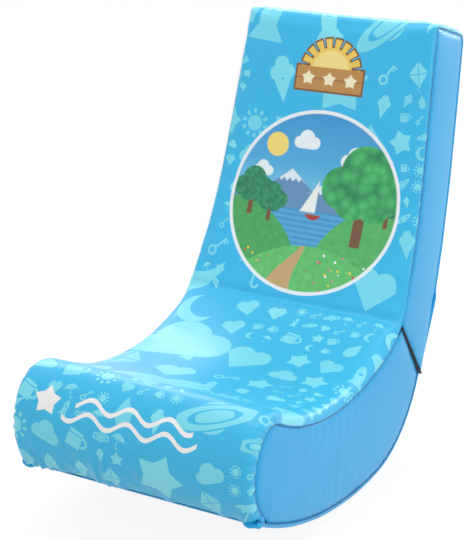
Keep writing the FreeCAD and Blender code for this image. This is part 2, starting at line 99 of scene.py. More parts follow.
class Finish:
    """A material. Its node method adds any node: first its settings, then what its sockets hold."""

    def __init__(self, name, fixed):
        self.material = bpy.data.materials.new(name)
        self.material.use_nodes = True
        self.tree = self.material.node_tree
        self.shader = self.tree.nodes["Principled BSDF"]
        for socket, value in fixed.items():
            self.shader.inputs[socket].default_value = value

    def node(self, kind, settings, sockets, output=0):
        made = self.tree.nodes.new(kind)
        for name, value in settings.items():
            if name == "stops":
                while len(made.color_ramp.elements) < len(value):
                    made.color_ramp.elements.new(0.5)
                for element, (place, colour) in zip(made.color_ramp.elements, value):
                    element.position = place
                    element.color = colour
            else:
                setattr(made, name, value)
        for name, value in sockets.items():
            self.feed(made.inputs[name], value)
        return Value(self, made.outputs[output])

    def feed(self, socket, value):
        if isinstance(value, Value):
            self.tree.links.new(value.socket, socket)
        else:
            socket.default_value = value

    def place(self, stretch=(1.0, 1.0, 1.0)):
        """Where a point is in its piece, in metres, with each axis stretched."""
        spot = self.node("ShaderNodeTexCoord", {}, {}, "Object")
        return self.node("ShaderNodeVectorMath", {"operation": "MULTIPLY"}, {0: spot, 1: stretch})

    def noise(self, spot, scale, detail=2.0, roughness=0.5):
        sockets = {"Vector": spot, "Scale": scale, "Detail": detail, "Roughness": roughness}
        return self.node("ShaderNodeTexNoise", {}, sockets, "Fac")

    def cells(self, spot, scale, output="Distance", feature="F1", randomness=1.0):
        sockets = {"Vector": spot, "Scale": scale, "Randomness": randomness}
        return self.node("ShaderNodeTexVoronoi", {"feature": feature}, sockets, output)

    def ramp(self, share, *stops):
        return self.node("ShaderNodeValToRGB", {"stops": stops}, {0: share})

    def mix(self, share, first, second):
        """The first colour where the share is 0 and the second where it is 1."""
        return self.node("ShaderNodeMix", {"data_type": "RGBA"}, {0: share, 6: first, 7: second}, 2)

    def wear(self, colour, roughness, height, depth):
        """Sets what varies: the colour, the roughness and a bump of a depth in metres."""
        self.feed(self.shader.inputs["Base Color"], colour)
        self.feed(self.shader.inputs["Roughness"], roughness)
        bump = self.node("ShaderNodeBump", {}, {"Distance": depth, "Height": height}, "Normal")
        self.feed(self.shader.inputs["Normal"], bump)

    def dress(self, *names):
        """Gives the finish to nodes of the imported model."""
        for name in names:
            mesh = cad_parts[name].data
            mesh.materials.clear()
            mesh.materials.append(self.material)


def paint(red, green, blue):
    """A colour from its 0 to 255 values on a screen."""
    shares = [channel / 255 for channel in (red, green, blue)]
    return tuple(s / 12.92 if s < 0.04 else ((s + 0.055) / 1.055) ** 2.4 for s in shares) + (1.0,)


def timber(name, pale, dark, grain):
    """Sawn wood: long grain, fine pores and a slightly fuzzy surface."""
    made = Finish(name, {"IOR": 1.45})
    long_way = made.place(grain)
    rings = made.noise(long_way, 9.0, 5.0, 0.62)
    pores = made.noise(long_way, 70.0, 3.0, 0.6)
    colour = made.ramp(rings * 0.75 + pores * 0.25, (0.3, dark), (0.5, pale), (0.68, pale))
    made.wear(colour, 0.55 + pores * 0.25, pores + rings * 0.5, 0.0006)
    return made


plywood = timber("birch_plywood", paint(222, 190, 146), paint(186, 146, 98), (1.0, 0.18, 1.0))
plywood.dress("seat_side_board_left", "seat_side_board_right")
plywood.dress("back_side_board_left", "back_side_board_right")
pine = timber("pine_rail", paint(226, 188, 132), paint(184, 132, 78), (0.12, 1.0, 1.0))
pine.dress("seat_front_rail", "seat_cross_rail_front", "seat_cross_rail_rear")
pine.dress("seat_joint_board", "back_joint_board", "back_top_rail", "back_middle_rail")


# Hardboard
# The curved base that the chair rocks on and the flat rear of the backrest are 3 mm brown
# hardboard, stapled to the edges of the frame, with a smooth face and a pressed texture.
hardboard = Finish("hardboard", {"IOR": 1.45})
fibres = hardboard.noise(hardboard.place((1.0, 0.6, 1.0)), 420.0, 4.0, 0.7)
stains = hardboard.noise(hardboard.place(), 14.0, 3.0)
board_brown = hardboard.ramp(
    fibres * 0.5 + stains * 0.5, (0.3, paint(92, 62, 40)), (0.7, paint(142, 102, 68))
)
hardboard.wear(board_brown, 0.42 + fibres * 0.3, fibres, 0.0003)
hardboard.dress("rocker_board", "back_rear_panel")


# Webbing
# Elastic straps, 50 mm wide, run from side board to side board under the foam and are stapled
# to the boards' edges. They are woven of black and grey polypropylene and rubber.
webbing = Finish("webbing", {"IOR": 1.45, "Sheen Weight": 0.2})
strap_spot = webbing.place()
strap_x, strap_y = (
    webbing.node("ShaderNodeSeparateXYZ", {}, {0: strap_spot}, axis) for axis in (0, 1)
)
rib = abs((strap_x / 0.0022) % 1.0 - 0.5) * 2.0
thread = abs((strap_y / 0.0016) % 1.0 - 0.5) * 2.0
weave = rib * 0.6 + thread * 0.4
webbing.wear(
    webbing.ramp(weave, (0.1, paint(28, 30, 34)), (0.9, paint(86, 90, 96))),
    0.65 + weave * 0.2, weave, 0.0005,
)
webbing.dress("seat_webbing", "back_webbing")


# Hinges
# Three steel butt hinges join the seat to the backrest under the crease. Their plates are let
# into the boards behind the joint face, and each turns on a riveted pin.
zinc = Finish("zinc_plated_steel", {"Metallic": 1.0, "Anisotropic": 0.3})
brushed = zinc.noise(zinc.place((1.0, 12.0, 12.0)), 160.0, 4.0, 0.7)
clouds = zinc.noise(zinc.place(), 55.0, 2.0)
zinc.wear(
    zinc.ramp(clouds, (0.35, paint(176, 180, 184)), (0.65, paint(204, 207, 208))),
    0.28 + brushed * 0.2, brushed, 0.00015,
)
zinc.dress("seat_hinge_leaves", "back_hinge_leaves", "hinge_pins")


# Screws
# Countersunk wood screws hold the hinge plates to the boards and the side boards to the rails.
# They are hardened steel with a yellow zinc coat.
yellow_zinc = Finish("yellow_zinc_screw", {"Metallic": 1.0})
tarnish = yellow_zinc.noise(yellow_zinc.place(), 300.0, 3.0, 0.6)
yellow_zinc.wear(
    yellow_zinc.ramp(tarnish, (0.3, paint(176, 142, 72)), (0.7, paint(214, 190, 122))),
    0.25 + tarnish * 0.25, tarnish, 0.0001,
)
yellow_zinc.dress("seat_hinge_screws", "back_hinge_screws", "seat_frame_screws", "back_frame_screws")


# Linings of the joint
# The two slanted faces that press together are closed by flat panels of black nonwoven lining.
# Each is sewn round its edge, padded a little by the board behind it, and cut out at the hinges.
def corners_of(loop, least_turn):
    """The indices where a closed loop of points turns sharply."""
    before = loop - np.roll(loop, 1, axis=0)
    after = np.roll(loop, -1, axis=0) - loop
    cosine = np.sum(before * after, 1) / np.linalg.norm(before, axis=1) / np.linalg.norm(after, axis=1)
    return np.flatnonzero(cosine < math.cos(math.radians(least_turn)))


def evened(loop, step):
    """A closed loop with its points spread evenly between its corners."""
    corners = corners_of(loop, 25)
    made = []
    for first, last in zip(corners, np.append(corners[1:], corners[0] + len(loop))):
        stretch = loop[np.arange(first, last + 1) % len(loop)]
        lengths = np.append(0, np.cumsum(np.linalg.norm(np.diff(stretch, axis=0), axis=1)))
        count = max(1, round(lengths[-1] / step))
        spots = np.linspace(0, lengths[-1], count + 1)[:-1]
        made.append(np.stack([np.interp(spots, lengths, stretch[:, i]) for i in range(3)], 1))
    return np.concatenate(made)


def flat_face(node, way):
    """The outlines of the largest flat face of a node that looks a way, and the face's normal."""
    work = bmesh.new()
    work.from_mesh(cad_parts[node].data)
    bmesh.ops.remove_doubles(work, verts=work.verts, dist=1e-6)
    facing = [f for f in work.faces if f.normal.dot(Vector(way)) > 0.8]
    normal = max(facing, key=lambda f: f.calc_area()).normal.copy()
    front = max(f.calc_center_median().dot(normal) for f in facing if f.normal.dot(normal) > 0.999)
    flat = {
        f
        for f in facing
        if f.normal.dot(normal) > 0.9999 and f.calc_center_median().dot(normal) > front - 1e-4
    }
    following = {}
    for face in flat:
        for corner in face.loops:
            if sum(f in flat for f in corner.edge.link_faces) == 1:
                following[corner.vert.index] = corner.link_loop_next.vert.index
    spots = {v.index: tuple(v.co) for v in work.verts}
    work.free()
    loops = []
    while following:
        first = here = next(iter(following))
        loop = []
        while here in following:
            loop.append(spots[here])
            here = following.pop(here)
        loops.append(np.array(loop))
    return sorted(loops, key=len, reverse=True), np.array(normal)


def from_edge(points, loops):
    """How far points of a flat panel are from its edges."""
    nearest = np.full(len(points), 1e9)
    for loop in loops:
        ends = np.roll(loop, -1, axis=0)
        for start, along in zip(loop, ends - loop):
            share = np.clip((points - start) @ along / (along @ along), 0, 1)
            nearest = np.minimum(nearest, np.linalg.norm(points - start - share[:, None] * along, axis=1))
    return nearest


def is_inside(points, loop):
    """Which points of a plane lie inside a closed loop."""
    inside = np.zeros(len(points), bool)
    for a, b in zip(loop, np.roll(loop, -1, axis=0)):
        crosses = (a[1] > points[:, 1]) != (b[1] > points[:, 1])
        rise = b[1] - a[1] if b[1] != a[1] else 1e-12
        inside ^= crosses & (points[:, 0] < (b[0] - a[0]) * (points[:, 1] - a[1]) / rise + a[0])
    return inside


def panel(name, node, way, edge_step, step):
    """A flat sheet with the outline of a node's face. Also gives its distances from the edge."""
    loops, normal = flat_face(node, way)
    least = 8 * edge_step
    loops = [evened(loop, edge_step) for loop in loops if np.ptp(loop, axis=0).max() > least]
    across = np.cross(normal, [0.0, 0.0, 1.0])
    across /= np.linalg.norm(across)
    upward = np.cross(across, normal)
    origin = loops[0][0]
    flat = [np.stack([(loop - origin) @ across, (loop - origin) @ upward], 1) for loop in loops]
    low, high = flat[0].min(0), flat[0].max(0)
    rows = np.arange(low[1], high[1], step * math.sqrt(3) / 2)
    inner = [
        (x + (i % 2) * step / 2, y)
        for i, y in enumerate(rows)
        for x in np.arange(low[0], high[0], step)
    ]
    inner = np.array(inner)
    inner = inner[is_inside(inner, flat[0])]
    for hole in flat[1:]:
        inner = inner[~is_inside(inner, hole)]
    inner = inner[from_edge(inner, flat) > step * 0.6]
    points = np.concatenate(flat + [inner])
    edges = []
    for loop in flat:
        count, start = len(loop), len(edges)
        edges += [(start + i, start + (i + 1) % count) for i in range(count)]
    spots, _, faces, _, _, _ = geometry.delaunay_2d_cdt([Vector(p) for p in points], edges, [], 1, 1e-9)
    spots = np.array(spots)
    middles = np.array([spots[list(f)].mean(0) for f in faces])
    kept = is_inside(middles, flat[0])
    for hole in flat[1:]:
        kept &= ~is_inside(middles, hole)
    mesh = bpy.data.meshes.new(name)
    solid = origin + spots[:, :1] * across + spots[:, 1:] * upward
    mesh.from_pydata(solid.tolist(), [], [f for f, keep in zip(faces, kept) if keep])
    piece = bpy.data.objects.new(name, mesh)
    bpy.context.scene.collection.objects.link(piece)
    if np.array(mesh.polygons[0].normal) @ normal < 0:
        mesh.flip_normals()
    mesh.shade_smooth()
    return piece, from_edge(spots, flat), normal


def coordinates(piece):
    flat = np.zeros(len(piece.data.vertices) * 3)
    piece.data.vertices.foreach_get("co", flat)
    return flat.reshape(-1, 3)


def move_to(piece, points):
    piece.data.vertices.foreach_set("co", points.ravel())
    piece.data.update()


def thicken(piece, thickness):
    """Turns a sheet into a closed skin of a thickness, inside its outer face."""
    change = piece.modifiers.new("thickness", "SOLIDIFY")
    change.thickness = thickness
    change.offset = -1.0
    change.use_even_offset = False
    with bpy.context.temp_override(object=piece, active_object=piece):
        bpy.ops.object.modifier_apply(modifier=change.name)


lining_thickness = 0.0012
lining_dip = 0.0009
lining_edge = 0.012
lining = Finish("black_lining", {"IOR": 1.45, "Sheen Weight": 0.3})
fuzz = lining.noise(lining.place(), 900.0, 3.0, 0.7)
dimple = lining.cells(lining.place(), 420.0)
lining.wear(
    lining.ramp(fuzz, (0.3, paint(26, 30, 36)), (0.7, paint(48, 54, 62))),
    0.75 + fuzz * 0.15, fuzz + dimple, 0.0004,
)
for body, way in (("seat", (0, 0.8, 0.6)), ("back", (0, -0.8, -0.6))):
    node = body + "_end_cover"
    piece, edge_distance, normal = panel(node + "_lining", node, way, 0.005, 0.008)
    waves = [noise.noise(Vector(p) * 24) for p in coordinates(piece)]
    sunk = lining_dip * (np.exp(-edge_distance / lining_edge) + 0.3 * (1 + np.array(waves)))
    move_to(piece, coordinates(piece) - normal * sunk[:, None])
    thicken(piece, lining_thickness - lining_dip)
    piece.data.materials.append(lining.material)
    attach(piece, body)
    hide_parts(node)


# Side panels of the seat and backrest
# Plain blue vinyl backed with thin foam, cut to the side's outline and sewn in between the
# printed panel and the bottom or rear panel, so that it swells a little inside its seams.
def blown(piece, held, pressure, most, slack):
    """Lets a sheet swell as cloth between its held points. No point moves further than the most."""
    rest = coordinates(piece)
    group = piece.vertex_groups.new(name="sewn")
    group.add([int(i) for i in np.flatnonzero(held)], 1.0, "REPLACE")
    cloth = piece.modifiers.new("cloth", "CLOTH")
    cloth.settings.quality = 6
    cloth.settings.mass = 0.3
    cloth.settings.tension_stiffness = 15
    cloth.settings.compression_stiffness = 15
    cloth.settings.bending_stiffness = 0.6
    cloth.settings.shrink_min = -slack
    cloth.settings.use_pressure = True
    cloth.settings.uniform_pressure_force = pressure
    cloth.settings.effector_weights.gravity = 0.0
    cloth.settings.vertex_group_mass = group.name
    cloth.collision_settings.use_collision = False
    for step in range(1, 21):
        bpy.context.scene.frame_set(step)
    swollen = piece.evaluated_get(bpy.context.evaluated_depsgraph_get())
    settled = np.array([v.co for v in swollen.data.vertices])
    piece.modifiers.remove(cloth)
    bpy.context.scene.frame_set(1)
    shift = settled - rest
    length = np.linalg.norm(shift, axis=1)
    shift *= (most * np.tanh(length / most) / np.maximum(length, 1e-9))[:, None]
    move_to(piece, rest + shift)
    piece.vertex_groups.clear()


def vinyl(name):
    """Soft upholstery vinyl: a fine pebbled grain with a satin coat."""
    return Finish(
        name, {"IOR": 1.45, "Specular IOR Level": 0.4, "Coat Roughness": 0.22, "Coat Weight": 0.3}
    )


def grain_of(finish, spot):
    """The height of the vinyl's pebbled grain, about a millimetre across."""
    pebbles = finish.cells(spot, 900.0, feature="SMOOTH_F1")
    return pebbles * 0.6 + finish.noise(spot, 500.0, 3.0, 0.6) * 0.5


panel_swell = 0.0035
panel_slack = 0.001
panel_thickness = 0.0012
seam_dip = 0.0016
seam_reach = 0.004
plain_vinyl = vinyl("plain_blue_vinyl")
vinyl_spot = plain_vinyl.place()
vinyl_grain = grain_of(plain_vinyl, vinyl_spot)
vinyl_clouds = plain_vinyl.noise(vinyl_spot, 9.0, 2.0)
plain_vinyl.wear(
    plain_vinyl.ramp(
        vinyl_clouds * 0.8 + vinyl_grain * 0.2, (0.3, paint(14, 168, 230)), (0.7, paint(24, 176, 236))
    ),
    0.4 + vinyl_grain * 0.12, vinyl_grain, 0.00012,
)
for body in ("seat", "back"):
    for side, way in (("left", 1.0), ("right", -1.0)):
        node = f"{body}_side_cover_{side}"
        piece, edge_distance, normal = panel(f"{body}_side_panel_{side}", node, (way, 0, 0), 0.004, 0.007)
        blown(piece, edge_distance < 0.001, 4.0, panel_swell, panel_slack)
        sunk = seam_dip * np.exp(-((edge_distance / seam_reach) ** 2))
        move_to(piece, coordinates(piece) - normal * sunk[:, None])
        thicken(piece, panel_thickness)
        piece.data.materials.append(plain_vinyl.material)
        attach(piece, body)
        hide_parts(node, f"{body}_side_pad_{side}")


# Printed panel
# One wide strip of printed vinyl over foam. It starts under the nose, rolls over it, runs up the
# seat, is drawn in at the crease, climbs the backrest and ends behind its rounded top.
def toward(angle, distance=1.0):
    """A step in the side plane, as (y, z), at an angle in degrees from +Y towards +Z."""
    return distance * np.array([math.cos(math.radians(angle)), math.sin(math.radians(angle))])


class Run:
    """Tangent lines and arcs seen from the side, as (length, radius). A left turn is positive."""

    def __init__(self, start, heading, steps):
        self.pieces = []
        self.length = 0.0
        for length, radius in steps:
            self.pieces.append((self.length, start, heading, radius))
            start, heading = self.walk(start, heading, length, radius)
            self.length += length
        self.end, self.end_heading = start, heading

    def walk(self, point, heading, length, radius):
        if radius is None:
            return point + toward(heading, length), heading
        turn = math.degrees(length / radius)
        centre = point + toward(heading + 90, radius)
        return centre + toward(heading + turn - 90, radius), heading + turn

    def at(self, place):
        """The point at a distance from the start, and the heading there."""
        first, point, heading, radius = max(
            (p for p in self.pieces if p[0] <= max(place, 0)), key=lambda p: p[0]
        )
        return self.walk(point, heading, place - first, radius)


def smooth(value, low, high):
    """0 below low and 1 above high, with a soft rise between them."""
    share = np.clip((value - low) / (high - low), 0, 1)
    return share * share * (3 - 2 * share)


def lerp(low, high, share):
    return low + (high - low) * share


def places_between(start, *spans):
    """Places from a start on, given the end of each span and the step in it."""
    made = [start]
    for end, step in spans:
        count = max(1, round((end - made[-1]) / step))
        made += list(np.linspace(made[-1], end, count + 1)[1:])
    return made


def section(wide, roll, depth, columns):
    """Half a strip across the chair, as (x, depth): flat, rolled over its edge and down to its seam."""
    angles = np.linspace(0, math.pi / 2, 6)[1:]
    flat = np.linspace(0, wide - roll, columns // 2 + 1)
    lip = [(wide + seam_lip, lerp(roll, depth, 0.5)), (wide - seam_dip / 2, depth - 0.0005)]
    lip.append((wide - seam_dip - seam_tuck, depth + 0.0005))
    across = np.concatenate([flat, wide - roll + roll * np.sin(angles), [x for x, _ in lip]])
    inward = np.concatenate([flat * 0, roll - roll * np.cos(angles), [z for _, z in lip]])
    return across, inward


def wrap(name, run, places, inner_side, half_width, roll, depth, columns):
    """A strip along a run whose edges roll over the chair's sides, down to the side seams.

    The inner side is +1 where the chair is to the left of the run and -1 where it is to the right.
    The half width is a function of the point, and the roll's radius and seam's depth of the place."""
    sheet, cloth = [], []
    for place in places:
        point, heading = run.at(place)
        across, inward = section(half_width(point), roll(place), depth(place), columns)
        girth = np.append(0, np.cumsum(np.hypot(np.diff(across), np.diff(inward))))
        both = np.concatenate([-across[:0:-1], across])
        down = np.concatenate([inward[:0:-1], inward])
        spread = np.concatenate([-girth[:0:-1], girth])
        spots = point + down[:, None] * toward(heading + 90 * inner_side)
        sheet.append(np.column_stack([both, spots]))
        cloth.append(np.column_stack([spread, spread * 0 + place, girth[-1] - abs(spread)]))
    rows, count = len(sheet), len(sheet[0])
    index = np.arange(rows * count).reshape(rows, count)
    faces = np.stack([index[:-1, :-1], index[:-1, 1:], index[1:, 1:], index[1:, :-1]], -1)
    mesh = bpy.data.meshes.new(name)
    mesh.from_pydata(np.concatenate(sheet).tolist(), [], faces.reshape(-1, 4).tolist())
    if inner_side > 0:
        mesh.flip_normals()
    held = mesh.attributes.new("cloth", "FLOAT_VECTOR", "POINT")
    held.data.foreach_set("vector", np.concatenate(cloth).ravel())
    mesh.shade_smooth()
    piece = bpy.data.objects.new(name, mesh)
    bpy.context.scene.collection.objects.link(piece)
    return piece


def cloth_of(piece):
    """Each point's place in the flat cloth: across from the middle, along, and from the side seam."""
    flat = np.zeros(len(piece.data.vertices) * 3)
    piece.data.attributes["cloth"].data.foreach_get("vector", flat)
    return flat.reshape(-1, 3)


def normals_of(piece):
    flat = np.zeros(len(piece.data.vertices) * 3, np.float32)
    piece.data.vertex_normals.foreach_get("vector", flat)
    return flat.reshape(-1, 3).astype(float)


def subdivide(piece):
    change = piece.modifiers.new("rounds", "SUBSURF")
    change.levels = 1
    with bpy.context.temp_override(object=piece, active_object=piece):
        bpy.ops.object.modifier_apply(modifier=change.name)


def wander(spots, seed):
    """Smooth noise from -1 to 1 at an array of spots."""
    return np.array([noise.noise(Vector((a, b, seed))) for a, b in spots])


def map_cloth(piece):
    """Lays the cloth's own places out as the piece's UV map, in metres."""
    layer = piece.data.uv_layers.new(name="cloth_map")
    corners = np.zeros(len(piece.data.loops), int)
    piece.data.loops.foreach_get("vertex_index", corners)
    layer.data.foreach_set("uv", cloth_of(piece)[corners, :2].ravel())


seam_lip = 0.0009
seam_tuck = 0.0025
half_seat = 0.205
half_top = 0.176
rocker_radius = 0.770
rocker_flat = 0.0005
nose_under = 31.3
rocker_centre = np.array([0.0, rocker_radius - rocker_flat])
nose_foot = rocker_centre + toward(-90 - nose_under, rocker_radius)
nose_heading = 130.7
nose_steps = [(0.134, -0.107), (0.096, -0.062)]
seat_length, seat_radius = 0.449, 0.465
seat_run = Run(nose_foot, nose_heading, nose_steps + [(seat_length, seat_radius)])
crease, crease_place = seat_run.end, seat_run.length
back_angle = 56.5
back_radius, back_curve, back_straight = 0.844, 0.258, 0.248
front_round, rear_round, back_depth = 0.010, 0.022, 0.142
rear_seam_turn = 43.0
crease_cut = 0.0105
crease_turn = math.radians(back_angle - seat_run.end_heading)
crease_turn += crease_cut / back_radius + crease_cut / seat_radius
crease_radius = crease_cut / math.tan(crease_turn / 2)
printed_run = Run(
    nose_foot,
    nose_heading,
    nose_steps
    + [
        (seat_length - crease_cut, seat_radius),
        (crease_turn * crease_radius, crease_radius),
        (back_curve - crease_cut, back_radius),
        (back_straight - front_round, None),
        (front_round * math.pi / 2, -front_round),
        (back_depth - front_round - rear_round, None),
        (rear_round * math.radians(rear_seam_turn), -rear_round),
    ],
)
back_run = Run(crease, back_angle, [(back_curve, back_radius), (back_straight, None)])
back_length = np.linalg.norm(back_run.end - crease)
back_axis = (back_run.end - crease) / back_length
top_place = crease_place + back_run.length


def half_width(point):
    """Half the chair's width at a point of the side plane. The backrest narrows to its top."""
    climb = max(0.0, (point - crease) @ back_axis) if point[1] > crease[1] else 0.0
    return half_seat - (half_seat - half_top) * climb / back_length


def printed_roll(place):
    return lerp(0.014, 0.004, smooth(place, crease_place - 0.04, crease_place + 0.01))


def printed_depth(place):
    return lerp(0.017, 0.006, smooth(place, crease_place - 0.04, crease_place + 0.01))


hem_place = 0.004
printed_places = places_between(
    hem_place, (0.230, 0.0055), (crease_place - 0.02, 0.009), (crease_place + 0.02, 0.0055),
    (top_place - front_round, 0.009), (printed_run.length, 0.0045),
)
printed = wrap(
    "printed_panel", printed_run, printed_places, -1, half_width, printed_roll, printed_depth, 46
)
_, along, from_seam = cloth_of(printed).T
sewn = (from_seam < 0.005) | (along < hem_place + 0.001) | (along > printed_run.length - 0.001)
blown(printed, sewn | (abs(along - crease_place) < 0.003), 4.0, 0.003, 0.006)
subdivide(printed)

across, along, from_seam = cloth_of(printed).T
side = np.sign(across)
outward = normals_of(printed)
gather_pitch = 0.0085
gather_rise = 0.0028
gathers = wander(np.column_stack([along / gather_pitch + from_seam * 30 * side, side * 7]), 3.0)
at_nose = 0.25 + 0.75 * (1 - smooth(along, 0.15, 0.24))
near_seam = smooth(from_seam, 0.003, 0.008) * (1 - smooth(from_seam, 0.010, 0.034))
raised = gather_rise * at_nose * near_seam * gathers
raised += 0.0006 * wander(np.column_stack([across * 14, along * 14]), 8.0)
# Upright folds where the panel is pulled in under the nose: place across, height, reach and width
fold_rise = 2.4
nose_folds = [
    (-0.190, 0.0022, 0.075, 0.0050),
    (-0.176, 0.0026, 0.060, 0.0045),
    (-0.162, 0.0024, 0.085, 0.0050),
    (-0.147, 0.0020, 0.055, 0.0045),
    (-0.128, 0.0012, 0.050, 0.0060),
    (-0.060, 0.0016, 0.070, 0.0060),
    (-0.042, 0.0020, 0.085, 0.0055),
    (-0.022, 0.0012, 0.060, 0.0060),
    (0.062, 0.0008, 0.045, 0.0080),
    (0.150, 0.0008, 0.045, 0.0070),
    (0.184, 0.0014, 0.040, 0.0050),
]
for middle, height, length, width in nose_folds:
    lean = (along - hem_place) * (0.10 + 0.6 * middle)
    ridge = np.exp(-(((across - middle - lean) / width) ** 2))
    raised += fold_rise * height * ridge * (1 - smooth(along, hem_place + length * 0.3, hem_place + length))
# Short puckers that fan out from the top corners of the backrest
corner_across = half_top - 0.004
for fan in range(5):
    angle = math.radians(200 + 17 * fan)
    away = np.column_stack([abs(across) - corner_across, along - top_place + 0.004])
    outwards = away @ np.array([math.cos(angle), math.sin(angle)])
    beside = away @ np.array([-math.sin(angle), math.cos(angle)])
    reach = smooth(outwards, 0.004, 0.016) * (1 - smooth(outwards, 0.025, 0.055))
    raised += 0.0013 * reach * np.exp(-((beside / 0.0032) ** 2)) * smooth(from_seam, 0.002, 0.008)
raised -= 0.0022 * (1 - smooth(along, hem_place, hem_place + 0.004))
move_to(printed, coordinates(printed) + outward * raised[:, None])
map_cloth(printed)
thicken(printed, 0.0012)
joint_slant = 53.5
joint_normal = Vector((0.0, *toward(90 - joint_slant)))


# Print
# The panel is printed before it is sewn: pale shapes scattered over sky blue, a round picture
# with a white ring low on the backrest, a small gold badge above it and white waves on the nose.
def disc(p, x, y, radius):
    return radius - ((p[0] - x) ** 2 + (p[1] - y) ** 2) ** 0.5


def block(p, x, y, width, height):
    return least(width - abs(p[0] - x), height - abs(p[1] - y))


def beyond(p, x, y, angle):
    """How far p is past a line through (x, y), towards an angle in degrees."""
    a = math.radians(angle)
    return (p[0] - x) * math.cos(a) + (p[1] - y) * math.sin(a)


def least(first, *others):
    for other in others:
        first = first.math("MINIMUM", first, other)
    return first


def most(first, *others):
    for other in others:
        first = first.math("MAXIMUM", first, other)
    return first


def ring(p, x, y, radius, width):
    return width - abs(disc(p, x, y, radius))


def ellipse(p, x, y, wide, high):
    return (1.0 - (((p[0] - x) / wide) ** 2 + ((p[1] - y) / high) ** 2) ** 0.5) * min(wide, high)


def turned(p, angle):
    c, s = math.cos(math.radians(angle)), math.sin(math.radians(angle))
    return p[0] * c + p[1] * s, p[1] * c - p[0] * s


def cloud(p):
    puffs = most(disc(p, -0.2, -0.06, 0.15), disc(p, 0.0, 0.06, 0.21), disc(p, 0.22, -0.05, 0.16))
    return most(puffs, block(p, 0.01, -0.14, 0.21, 0.075))


def star(p):
    turn = p[0].math("ARCTAN2", p[0], p[1])
    fold = abs((turn / (math.tau / 5) + 0.5) % 1.0 - 0.5) * (math.tau / 5)
    far = (p[0] ** 2 + p[1] ** 2) ** 0.5
    tip = (far * fold.math("COSINE", fold), far * fold.math("SINE", fold))
    return beyond(tip, 0.38, 0.0, 234.0)


def heart(p):
    lobes = most(disc(p, -0.13, 0.08, 0.17), disc(p, 0.13, 0.08, 0.17))
    point = least(beyond((abs(p[0]), p[1]), 0.0, -0.32, 139.0), beyond(p, 0.0, 0.06, -90.0))
    return most(lobes, point)


def umbrella(p):
    dome = least(disc(p, 0.0, -0.02, 0.34), p[1] - 0.0)
    scallops = most(disc(p, -0.22, -0.02, 0.11), disc(p, 0.0, -0.02, 0.11), disc(p, 0.22, -0.02, 0.11))
    crook = least(ring(p, 0.06, -0.27, 0.06, 0.02), beyond(p, 0.0, -0.27, -90.0))
    return most(least(dome, scallops * -1.0), block(p, 0.0, -0.1, 0.02, 0.18), crook)


def moon(p):
    return least(disc(p, -0.02, 0.0, 0.32), disc(p, 0.13, 0.07, 0.27) * -1.0)


def planet(p):
    q = turned(p, 22)
    hoop = 0.03 - abs(ellipse(q, 0.0, 0.0, 0.41, 0.13))
    return most(least(disc(p, 0.0, 0.0, 0.22), abs(ellipse(q, 0.0, 0.0, 0.41, 0.13)) - 0.05), hoop)


def ice_cream(p):
    cone = least(beyond((abs(p[0]), p[1]), 0.0, -0.38, 158.0), beyond(p, 0.0, -0.02, -90.0))
    scoops = most(disc(p, -0.09, 0.09, 0.12), disc(p, 0.09, 0.09, 0.12), disc(p, 0.0, 0.22, 0.12))
    return most(cone, scoops)


def kite(p):
    diamond = 0.24 - (abs(p[0]) + abs(p[1] - 0.08) * 0.8) * 0.8
    bars = least(abs(p[0]), abs(p[1] - 0.08)) - 0.014
    tail = most(disc(p, 0.03, -0.27, 0.035), disc(p, -0.03, -0.35, 0.03), disc(p, 0.04, -0.42, 0.025))
    return most(least(diamond, bars), tail)


def mug(p):
    body = least(block(p, -0.06, 0.0, 0.2, 0.22), abs(p[1] - 0.12) - 0.015)
    return most(body, least(ring(p, 0.16, 0.0, 0.12, 0.032), p[0] - 0.14))


def key(p):
    q = turned(p, 40)
    bow = most(ring(q, -0.22, 0.0, 0.11, 0.035), block(q, 0.08, 0.0, 0.2, 0.03))
    return most(bow, block(q, 0.24, -0.07, 0.025, 0.07), block(q, 0.16, -0.055, 0.022, 0.055))


def rocket(p):
    body = least(ellipse(p, 0.0, 0.02, 0.13, 0.38), disc(p, 0.0, 0.1, 0.055) * -1.0, p[1] + 0.26)
    fins = least(beyond((abs(p[0]), p[1]), 0.22, -0.3, 215.0), p[1] + 0.34, beyond(p, 0.0, -0.05, -90.0))
    return most(body, fins)


def sun(p):
    turn = p[0].math("ARCTAN2", p[1], p[0])
    fold = abs((turn / (math.tau / 10) + 0.5) % 1.0 - 0.5)
    far = (p[0] ** 2 + p[1] ** 2) ** 0.5
    rays = least(0.35 - far, far - 0.24, (0.22 - fold) * far * 0.6)
    return most(disc(p, 0.0, 0.0, 0.19), rays)


def drop(p):
    tip = least(beyond((abs(p[0]), p[1]), 0.0, 0.36, 209.0), p[1] + 0.02)
    return most(disc(p, 0.0, -0.1, 0.18), tip)


motifs = [cloud, star, heart, umbrella, moon, planet, ice_cream, kite, mug, key, rocket, sun, drop]

sky = paint(54, 190, 237)
pale = paint(132, 230, 245)
printed_vinyl = vinyl("printed_vinyl")
cloth_map = printed_vinyl.node("ShaderNodeUVMap", {"uv_map": "cloth_map"}, {})
axes = [printed_vinyl.node("ShaderNodeSeparateXYZ", {}, {0: cloth_map}, axis) for axis in (0, 1)]


def whole(value):
    return value.math("FLOOR", value)


def chance(row, column, seed):
    """Three numbers from 0 to 1 that are fixed for each cell."""
    spot = row.finish.node("ShaderNodeCombineXYZ", {}, {0: row, 1: column, 2: seed})
    seeds = row.finish.node("ShaderNodeTexWhiteNoise", {"noise_dimensions": "3D"}, {0: spot}, "Color")
    return [row.finish.node("ShaderNodeSeparateXYZ", {}, {0: seeds}, axis) for axis in range(3)]


